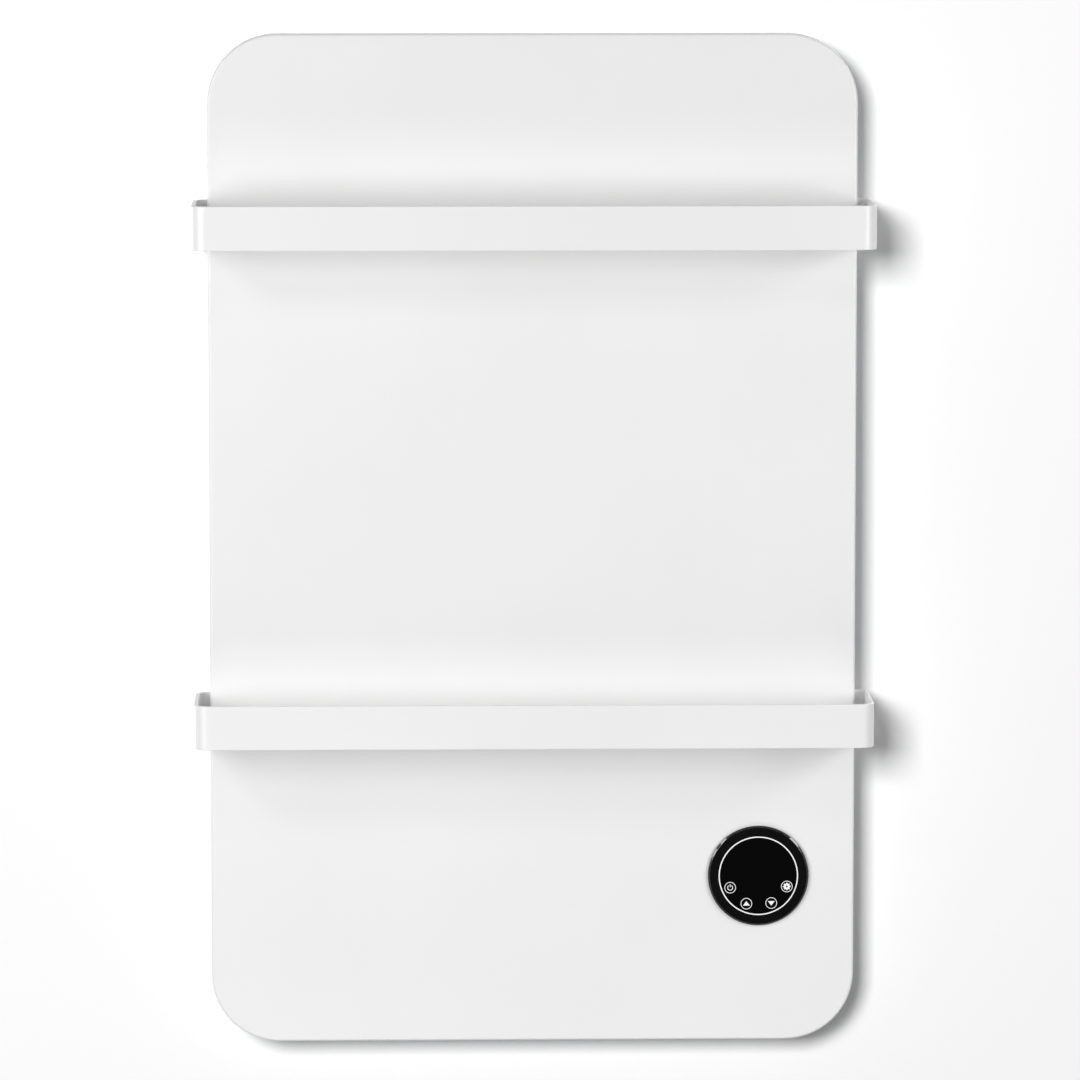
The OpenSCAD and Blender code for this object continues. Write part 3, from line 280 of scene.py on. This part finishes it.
def gloss_black(name):
    """Piano-black lacquer on the bezel, with fine polishing marks."""
    t = Tree(name)
    haze = t.noise(6 * MM, 4.0, 0.6)
    marks = t.noise(0.4 * MM, 2.0, at=t.stretched((1, 1, 0.2)))
    return t.finish(
        Base_Color=t.blend(haze, (0.0035, 0.0035, 0.0037), (0.006, 0.006, 0.0065)),
        Roughness=t.between(haze, 0.05, 0.09),
        Specular_IOR_Level=0.45,
        Normal=t.bump(marks, 0.002 * MM, 0.15),
    )


def print_white(name, glow):
    """Screen-printed white ink with the grain of the mesh. Where glow is set, its emission is painted glow that
    makes the ink brighter than the lamps light it.
    """
    t = Tree(name)
    ink = t.noise(0.25 * MM, 2.0)
    return t.finish(
        Base_Color=t.blend(ink, (0.84, 0.84, 0.84), (0.92, 0.92, 0.92)),
        # Painted glow: emission that brightens the ink beyond its lamp light.
        Emission_Color=(1.0, 1.0, 1.0),
        Emission_Strength=glow,
        Roughness=t.between(ink, 0.30, 0.42),
        Normal=t.bump(ink, 0.01 * MM, 0.3),
    )


def circuit_board(name):
    """Green solder mask over copper tracks, with pads."""
    t = Tree(name)
    slanting = t.stretched((1, 1, 1), (0, math.radians(45), 0))
    tracks = t.cells(3.2 * MM, "DISTANCE_TO_EDGE", "Distance", at=slanting)
    pads = t.cells(4.2 * MM, "F1", "Distance")
    line = t.between(tracks, 1, 0, 0.04, 0.07)
    pad = t.between(pads, 1, 0, 0.16, 0.19)
    mask = t.blend(line, (0.010, 0.085, 0.030), (0.022, 0.150, 0.055))
    return t.finish(
        Base_Color=t.blend(pad, mask, (0.62, 0.60, 0.52)),
        Metallic=t.between(pad, 0, 0.9, 0.4, 0.6),
        Roughness=t.between(t.noise(2 * MM), 0.28, 0.4),
        Normal=t.bump(line, 0.03 * MM, 0.6),
    )


def wool(name):
    """Pressed mineral wool: matted fibres, yellow grey."""
    t = Tree(name)
    fibre = t.noise(0.9 * MM, 4.0, 0.7, 1.5, at=t.stretched((1, 3, 0.35), (0, 0.5, 0)))
    other = t.noise(0.8 * MM, 4.0, 0.7, 1.5, at=t.stretched((0.35, 3, 1), (0, -0.6, 0)))
    mat = t.math("MULTIPLY", t.math("ADD", fibre, other), 0.5)
    return t.finish(
        Base_Color=t.blend(t.between(mat, 0, 1), (0.40, 0.34, 0.20), (0.66, 0.60, 0.42)),
        Roughness=t.between(mat, 0.85, 0.98),
        Specular_IOR_Level=0.2,
        Normal=t.bump(mat, 0.5 * MM, 0.8),
    )


def crinkled_foil(name):
    """Aluminium foil with sharp creases and soft ripples."""
    t = Tree(name)
    crease = t.cells(7 * MM, "DISTANCE_TO_EDGE", "Distance")
    ripple = t.noise(2.5 * MM, 3.0)
    soft = t.bump(ripple, 0.08 * MM, 0.5)
    return t.finish(
        Base_Color=t.blend(ripple, (0.78, 0.79, 0.80), (0.90, 0.90, 0.91)),
        Metallic=1.0,
        Roughness=t.between(ripple, 0.16, 0.30),
        Normal=t.bump(t.between(crease, 1, 0, 0, 0.12), 0.06 * MM, 0.6, soft),
    )


def banded(name, axis, pitch, first, second, roughness, share, offset=0.0):
    """Two colours in bands across an axis, as on a ribbon cable, a printed film or an earth lead."""
    t = Tree(name)
    along = t.math("ADD", t.channel(t.place, axis), offset)
    wave = t.math("FRACT", t.math("DIVIDE", along, pitch))
    edge = t.math("GREATER_THAN", wave, share)
    fine = t.noise(0.4 * MM, 2.0)
    first_tone = t.blend(fine, shade(first, 0.85), shade(first, 1.1))
    swell = t.math("SINE", t.math("MULTIPLY", wave, math.tau))
    return t.finish(
        Base_Color=t.blend(edge, first_tone, second),
        Metallic=0.0,
        Roughness=t.between(fine, roughness - 0.05, roughness + 0.05),
        Normal=t.bump(t.math("ADD", swell, fine), 0.04 * MM, 0.4),
    )


def clear_guide(name):
    """Frosted clear plastic that spreads the light of the keys."""
    t = Tree(name)
    frost = t.noise(0.5 * MM, 2.0)
    return t.finish(
        Base_Color=t.blend(frost, (0.86, 0.88, 0.89), (0.94, 0.95, 0.95)),
        Transmission_Weight=0.75,
        IOR=1.49,
        Roughness=t.between(frost, 0.25, 0.45),
        Normal=t.bump(frost, 0.03 * MM, 0.5),
    )


# Streaks long in x, for steel rolled across the heater, and long in z, for the bus bars.
ROLLED_X, ROLLED_Z = (0.12, 1, 1), (1, 1, 0.12)


def finishes():
    """One material for each of the record's slots, by the slot's name."""
    made = (
        powder_coat("panel_powder_coat", WHITE, 0.38),
        powder_coat("bar_powder_coat", WHITE, 0.33),
        rolled_metal("rail_zinc", (0.66, 0.68, 0.70), 0.34, ROLLED_X),
        galvanised("galvanised_steel"),
        rolled_metal("stiffener_steel", (0.60, 0.61, 0.62), 0.40, ROLLED_X),
        rolled_metal("hanger_steel", (0.63, 0.64, 0.66), 0.36, ROLLED_X),
        rolled_metal("rivet_aluminium", (0.80, 0.80, 0.81), 0.30),
        rolled_metal("screw_steel", (0.62, 0.63, 0.64), 0.30),
        rolled_metal("spring_steel", (0.58, 0.57, 0.55), 0.26),
        rolled_metal("copper", (0.86, 0.45, 0.29), 0.28, ROLLED_Z),
        rolled_metal("brass", (0.78, 0.60, 0.30), 0.27),
        crinkled_foil("foil"),
        banded("film_black", "Z", 12 * MM, (0.012, 0.012, 0.013), (0.045, 0.045, 0.047), 0.38, 0.86),
        wool("mineral_wool"),
        moulded("grey_rubber", (0.055, 0.057, 0.060), 0.72, 0.8 * MM, 0.04 * MM),
        moulded("gasket_silicone", (0.030, 0.030, 0.031), 0.60),
        gloss_black("bezel_black"),
        black_glass("control_glass"),
        moulded("nut_nylon", (0.62, 0.61, 0.56), 0.48),
        clear_guide("light_guide_clear"),
        circuit_board("board_green"),
        moulded("module_black", (0.012, 0.012, 0.013), 0.42),
        banded("ribbon_grey", "X", 1.27 * MM, (0.44, 0.44, 0.45), (0.25, 0.25, 0.26), 0.45, 0.8),
        moulded("box_white", (0.80, 0.80, 0.79), 0.46, 0.5 * MM, 0.03 * MM),
        moulded("relay_blue", (0.020, 0.075, 0.33), 0.36),
        moulded("capacitor_blue", (0.018, 0.040, 0.20), 0.22),
        moulded("terminal_green", (0.020, 0.24, 0.085), 0.40),
        moulded("gland_grey", (0.27, 0.28, 0.29), 0.50),
        moulded("switch_black", (0.016, 0.016, 0.017), 0.46),
        moulded("rocker_black", (0.022, 0.022, 0.023), 0.34),
        moulded("cutout_brown", (0.10, 0.032, 0.014), 0.40),
        moulded("lead_silicone", (0.42, 0.40, 0.37), 0.52),
        moulded("sensor_lead_red", (0.36, 0.020, 0.016), 0.48),
        banded("earth_green", "X", 4.6 * MM, (0.045, 0.30, 0.035), (0.72, 0.60, 0.03), 0.42, 0.62, 1.0),
    )
    return {material.name.split(".")[0]: material for material in made}


def dress_frame():
    """Gives every node of the part the finish of its slot."""
    made = finishes()
    for node in NODES.values():
        for place in node.material_slots:
            place.material = made[place.material.name.split(".")[0]]


# ---------------------------------------------------------------- printed pieces


def add_mesh(name, vertices, faces, material, body):
    mesh = bpy.data.meshes.new(name)
    mesh.from_pydata(vertices, [], faces)
    mesh.validate()
    mesh.update()
    mesh.materials.append(material)
    piece = bpy.data.objects.new(name, mesh)
    bpy.context.scene.collection.objects.link(piece)
    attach(piece, body)


class Shapes:
    """Flat closed shapes, drawn on a plane and given a thickness."""

    def __init__(self, to_world):
        self.vertices, self.faces, self.to_world = [], [], to_world

    def _layer(self, outline, height):
        start = len(self.vertices)
        self.vertices += [self.to_world(u, v, height) for u, v in outline]
        return [start + i for i in range(len(outline))]

    def solid(self, outline, low, high):
        """A convex outline, anticlockwise."""
        bottom, top = self._layer(outline, low), self._layer(outline, high)
        n = len(outline)
        self.faces += [top, bottom[::-1]]
        self.faces += [[bottom[i], bottom[(i + 1) % n], top[(i + 1) % n], top[i]] for i in range(n)]

    def band(self, outer, inner, low, high, closed=True):
        """The band between two lines with as many points as each other, both anticlockwise."""
        ob, ot = self._layer(outer, low), self._layer(outer, high)
        ib, it = self._layer(inner, low), self._layer(inner, high)
        n = len(outer)
        for i in range(n if closed else n - 1):
            j = (i + 1) % n
            self.faces += [
                [it[i], ot[i], ot[j], it[j]], [ob[i], ib[i], ib[j], ob[j]],
                [ob[i], ob[j], ot[j], ot[i]], [ib[j], ib[i], it[i], it[j]],
            ]
        if not closed:
            self.faces += [[ib[0], ob[0], ot[0], it[0]], [ob[-1], ib[-1], it[-1], ot[-1]]]


def arc(centre, radius, start=0.0, end=360.0, steps=96):
    """Points on an arc, in degrees; a full circle leaves its last point out."""
    full = end - start >= 360
    count = steps if full else steps + 1
    return [
        (centre[0] + radius * math.cos(math.radians(start + (end - start) * i / steps)),
         centre[1] + radius * math.sin(math.radians(start + (end - start) * i / steps)))
        for i in range(count)
    ]


def rectangle(left, low, right, high):
    return [(left, low), (right, low), (right, high), (left, high)]


# The print is turned a little on the glass, in degrees, and each key stands on a circle at its own angle.
PRINT_TURN = 1.1
PRINT_SUNK, PRINT_PROUD = -0.02 * MM, 0.05 * MM
RING_STEPS = 256

KEY_ANGLES = (("power", 202.9), ("up", 247.1), ("down", 295.3), ("settings", 339.1))
KEY_RADIUS = 27.3 * MM
KEY_RING, KEY_STROKE = 5.12 * MM, 0.52 * MM

GLYPH_STROKE = 0.62 * MM
POWER_RADIUS, POWER_START, POWER_END, POWER_STEPS = 2.55 * MM, 122, 418, 64
POWER_BAR = (0.5 * MM, 3.2 * MM)
ARROW_HALF, ARROW_BASE, ARROW_TIP = 3.05 * MM, 1.75 * MM, 2.3 * MM
GEAR_TEETH, GEAR_STEPS = 8, 16
GEAR_ROOT, GEAR_TOOTH, GEAR_STEEP, GEAR_HOLE = 2.62 * MM, 0.78 * MM, 2.2, 0.85 * MM


def power_mark(s, centre, low, high):
    """A ring that is open at the top, with a bar in the opening."""
    outer = arc(centre, POWER_RADIUS, POWER_START, POWER_END, POWER_STEPS)
    inner = arc(centre, POWER_RADIUS - GLYPH_STROKE, POWER_START, POWER_END, POWER_STEPS)
    s.band(outer, inner, low, high, closed=False)
    x, z = centre
    half = GLYPH_STROKE / 2
    s.solid(rectangle(x - half, z + POWER_BAR[0], x + half, z + POWER_BAR[1]), low, high)


def arrow_mark(s, centre, way, low, high):
    """A triangle that points up where way is 1, and down where it is -1."""
    points = [(-ARROW_HALF, -ARROW_BASE * way), (ARROW_HALF, -ARROW_BASE * way), (0, ARROW_TIP * way)]
    if way < 0:
        points.reverse()
    s.solid([(centre[0] + u, centre[1] + v) for u, v in points], low, high)


def gear_mark(s, centre, low, high):
    """A toothed wheel with a hole."""
    outer, inner = [], []
    for i in range(GEAR_TEETH * GEAR_STEPS):
        a = math.tau * i / (GEAR_TEETH * GEAR_STEPS)
        tooth = max(0.0, min(1.0, 0.5 + GEAR_STEEP * math.cos(a * GEAR_TEETH)))
        r = GEAR_ROOT + GEAR_TOOTH * tooth
        outer.append((centre[0] + r * math.cos(a), centre[1] + r * math.sin(a)))
        inner.append((centre[0] + GEAR_HOLE * math.cos(a), centre[1] + GEAR_HOLE * math.sin(a)))
    s.band(outer, inner, low, high)


def control_print(material):
    """The ring and the four touch marks on the glass: power, up, down and settings."""
    face = -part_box("display_glass")[0].y
    turn = math.radians(PRINT_TURN)

    def on_glass(u, v, height):
        return (
            TOUCH_X + u * math.cos(turn) - v * math.sin(turn),
            -(face + height),
            TOUCH_Z + u * math.sin(turn) + v * math.cos(turn),
        )

    s = Shapes(on_glass)
    low, high = PRINT_SUNK, PRINT_PROUD
    s.band(arc((0, 0), RING_OUTER, steps=RING_STEPS), arc((0, 0), RING_INNER, steps=RING_STEPS), low, high)
    keys = {}
    for name, angle in KEY_ANGLES:
        a = math.radians(angle - PRINT_TURN)
        c = keys[name] = (KEY_RADIUS * math.cos(a), KEY_RADIUS * math.sin(a))
        s.band(arc(c, KEY_RING), arc(c, KEY_RING - KEY_STROKE), low, high)
    power_mark(s, keys["power"], low, high)
    arrow_mark(s, keys["up"], 1, low, high)
    arrow_mark(s, keys["down"], -1, low, high)
    gear_mark(s, keys["settings"], low, high)
    add_mesh("control_print", s.vertices, s.faces, material, "heater")


# Each mark stands in the middle of its half of the rocker.
MARK_SHARE = 0.25
MARK_SUNK, MARK_PROUD = -0.02 * MM, 0.04 * MM
LINE_HALF, LINE_RISE = 1.5 * MM, 0.28 * MM
OFF_OUTER, OFF_INNER, OFF_STEPS = 1.35 * MM, 0.85 * MM, 48
RAY_START = 0.01


def rocker_marks(material):
    """The line and the ring of on and off, printed on the rocker's two halves."""
    rocker = NODES["rocker"]
    low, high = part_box("rocker")
    middle_y, middle_z = (low.y + high.y) / 2, (low.z + high.z) / 2
    for name, share in (("on", MARK_SHARE), ("off", -MARK_SHARE)):
        z = middle_z + share * (high.z - low.z)
        _, place, normal, _ = rocker.ray_cast((high.x + RAY_START, middle_y, z), (-1, 0, 0))
        up = normal.cross(Vector((0, 1, 0))).normalized()
        across = up.cross(normal).normalized()

        def on_rocker(u, v, height, place=place, across=across, up=up, normal=normal):
            return tuple(place + across * u + up * v + normal * height)

        s = Shapes(on_rocker)
        if name == "on":
            s.solid(rectangle(-LINE_HALF, -LINE_RISE, LINE_HALF, LINE_RISE), MARK_SUNK, MARK_PROUD)
        else:
            outer, inner = arc((0, 0), OFF_OUTER, steps=OFF_STEPS), arc((0, 0), OFF_INNER, steps=OFF_STEPS)
            s.band(outer, inner, MARK_SUNK, MARK_PROUD)
        add_mesh(f"rocker_mark_{name}", s.vertices, s.faces, material, "rocker")


# ---------------------------------------------------------------- stage

SHEET_HALF = 4.0
# A sheet thins out between these distances from the origin.
SHEET_CLEAR = (1.7, 3.4)
WALL_BACK = 0.5 * MM
FLOOR_LEVEL = -0.80
WALL_COLOUR, WALL_GLOW = (1.0, 1.0, 1.0), 0.06
FLOOR_COLOUR, FLOOR_GLOW = (0.86, 0.86, 0.86), 0.45


def stage_sheet(name, corners, colour, glow):
    """A sheet of the studio that shows on its front alone and thins out into the white around it."""
    t = Tree(name)
    t.nodes.remove(t.shader)
    patch = t.noise(0.5, 2.0)
    diffuse = t.node("ShaderNodeBsdfDiffuse")
    t.put(diffuse.inputs["Color"], t.blend(patch, shade(colour, 0.995), colour))
    light = t.node("ShaderNodeEmission")
    t.put(light.inputs["Strength"], glow)
    lit = t.node("ShaderNodeAddShader")
    t.put(lit.inputs[0], diffuse.outputs["BSDF"])
    t.put(lit.inputs[1], light.outputs["Emission"])
    clear = t.node("ShaderNodeBsdfTransparent")
    far = t.node("ShaderNodeVectorMath", operation="LENGTH")
    t.put(far.inputs[0], t.place)
    thin = t.between(far.outputs["Value"], 0, 1, *SHEET_CLEAR)
    behind = t.node("ShaderNodeNewGeometry").outputs["Backfacing"]
    mix = t.node("ShaderNodeMixShader")
    t.put(mix.inputs["Fac"], t.math("MAXIMUM", behind, thin))
    t.put(mix.inputs[1], lit.outputs["Shader"])
    t.put(mix.inputs[2], clear.outputs["BSDF"])
    t.put(t.output.inputs["Surface"], mix.outputs["Shader"])
    mesh = bpy.data.meshes.new(name)
    mesh.from_pydata(corners, [], [range(len(corners))])
    mesh.materials.append(t.material)
    sheet = bpy.data.objects.new(name, mesh)
    bpy.context.scene.collection.objects.link(sheet)
    sheet.visible_diffuse = sheet.visible_shadow = False
    return sheet


def add_stage():
    """The wall behind the heater and the floor below it. The lamps need the wall."""
    h, y, z = SHEET_HALF, WALL_BACK, FLOOR_LEVEL
    upright = [(-h, y, z), (h, y, z), (h, y, h), (-h, y, h)]
    level = [(-h, -h, z), (h, -h, z), (h, h, z), (-h, h, z)]
    wall = stage_sheet("studio_wall", upright, WALL_COLOUR, WALL_GLOW)
    stage_sheet("studio_floor", level, FLOOR_COLOUR, FLOOR_GLOW)
    return wall


# ---------------------------------------------------------------- light

# Soft boxes round the heater: name, place, width, height and level.
LAMPS = (
    ("left_key", (-1.45, -1.95, 0.20), 0.50, 1.40, 0.39),
    ("left_side", (-2.25, -1.55, 0.32), 0.35, 1.10, 0.20),
    ("left_kick", (-1.75, -1.55, 1.34), 0.40, 0.40, 0.09),
    ("right_key", (1.75, -1.65, 0.35), 0.60, 1.10, 0.38),
    ("right_kick", (2.50, -1.35, 1.17), 0.30, 0.75, 0.12),
    ("low_fill", (0.0, -0.95, -1.35), 1.6, 0.9, 0.24),
    ("top_fill", (-0.2, 0.75, 2.5), 1.6, 0.8, 0.08),
    ("rear_key", (1.5, 2.4, 1.1), 1.3, 1.3, 0.50),
    ("rear_fill", (-2.4, 1.8, -0.2), 1.0, 1.6, 0.22),
)
WALL_LAMP = ("wall_key", (-2.05, -7.50, 1.98), 2.20, 2.20, 0.88)
LAMP_TARGET = (0, -0.05, 0)

# The studio around is dim as a light, and white where it is seen, mirrored or looked at through a clear piece.
ROOM_LEVEL, BACKDROP_LEVEL = 0.12, 1.0


def add_lamp(name, place, width, height, level):
    """A soft box that gives a white surface facing it at the target this level, where 1 is white."""
    data = bpy.data.lights.new(name, "AREA")
    data.shape = "RECTANGLE"
    data.size, data.size_y = width, height
    data.energy = level * math.pi**2 * (Vector(LAMP_TARGET) - Vector(place)).length_squared
    lamp = bpy.data.objects.new(name, data)
    bpy.context.scene.collection.objects.link(lamp)
    aim(lamp, place, LAMP_TARGET)
    return lamp


def link_light(lamp, thing, state):
    """The lamp lights this thing alone, or everything but it."""
    group = bpy.data.collections.new(f"{lamp.name}_{state.lower()}")
    group.objects.link(thing)
    group.collection_objects[0].light_linking.link_state = state
    lamp.light_linking.receiver_collection = group


def add_light(wall):
    """The wall has a lamp of its own, whose shadows fall to the right and down."""
    for values in LAMPS:
        link_light(add_lamp(*values), wall, "EXCLUDE")
    link_light(add_lamp(*WALL_LAMP), wall, "INCLUDE")


def add_world():
    world = bpy.data.worlds.new("studio")
    bpy.context.scene.world = world
    world.use_nodes = True
    nodes, links = world.node_tree.nodes, world.node_tree.links
    room, backdrop = nodes["Background"], nodes.new("ShaderNodeBackground")
    for background, level in ((room, ROOM_LEVEL), (backdrop, BACKDROP_LEVEL)):
        background.inputs["Color"].default_value = (1, 1, 1, 1)
        background.inputs["Strength"].default_value = level
    path = nodes.new("ShaderNodeLightPath")
    seen = path.outputs["Is Camera Ray"]
    for kind in ("Is Glossy Ray", "Is Transmission Ray"):
        either = nodes.new("ShaderNodeMath")
        either.operation = "MAXIMUM"
        links.new(seen, either.inputs[0])
        links.new(path.outputs[kind], either.inputs[1])
        seen = either.outputs["Value"]
    mix = nodes.new("ShaderNodeMixShader")
    links.new(seen, mix.inputs["Fac"])
    links.new(room.outputs["Background"], mix.inputs[1])
    links.new(backdrop.outputs["Background"], mix.inputs[2])
    links.new(mix.outputs["Shader"], nodes["World Output"].inputs["Surface"])


# ---------------------------------------------------------------- the whole

# Painted glow on the ring and key marks: emission that makes the print brighter than the lamps light it.
PAINTED_PRINT_GLOW = 0.12

add_camera()
dress_frame()
control_print(print_white("print_painted_glow", PAINTED_PRINT_GLOW))
rocker_marks(print_white("print_white", 0.0))
add_light(add_stage())
add_world()

bpy.context.scene.view_settings.view_transform = "Standard"
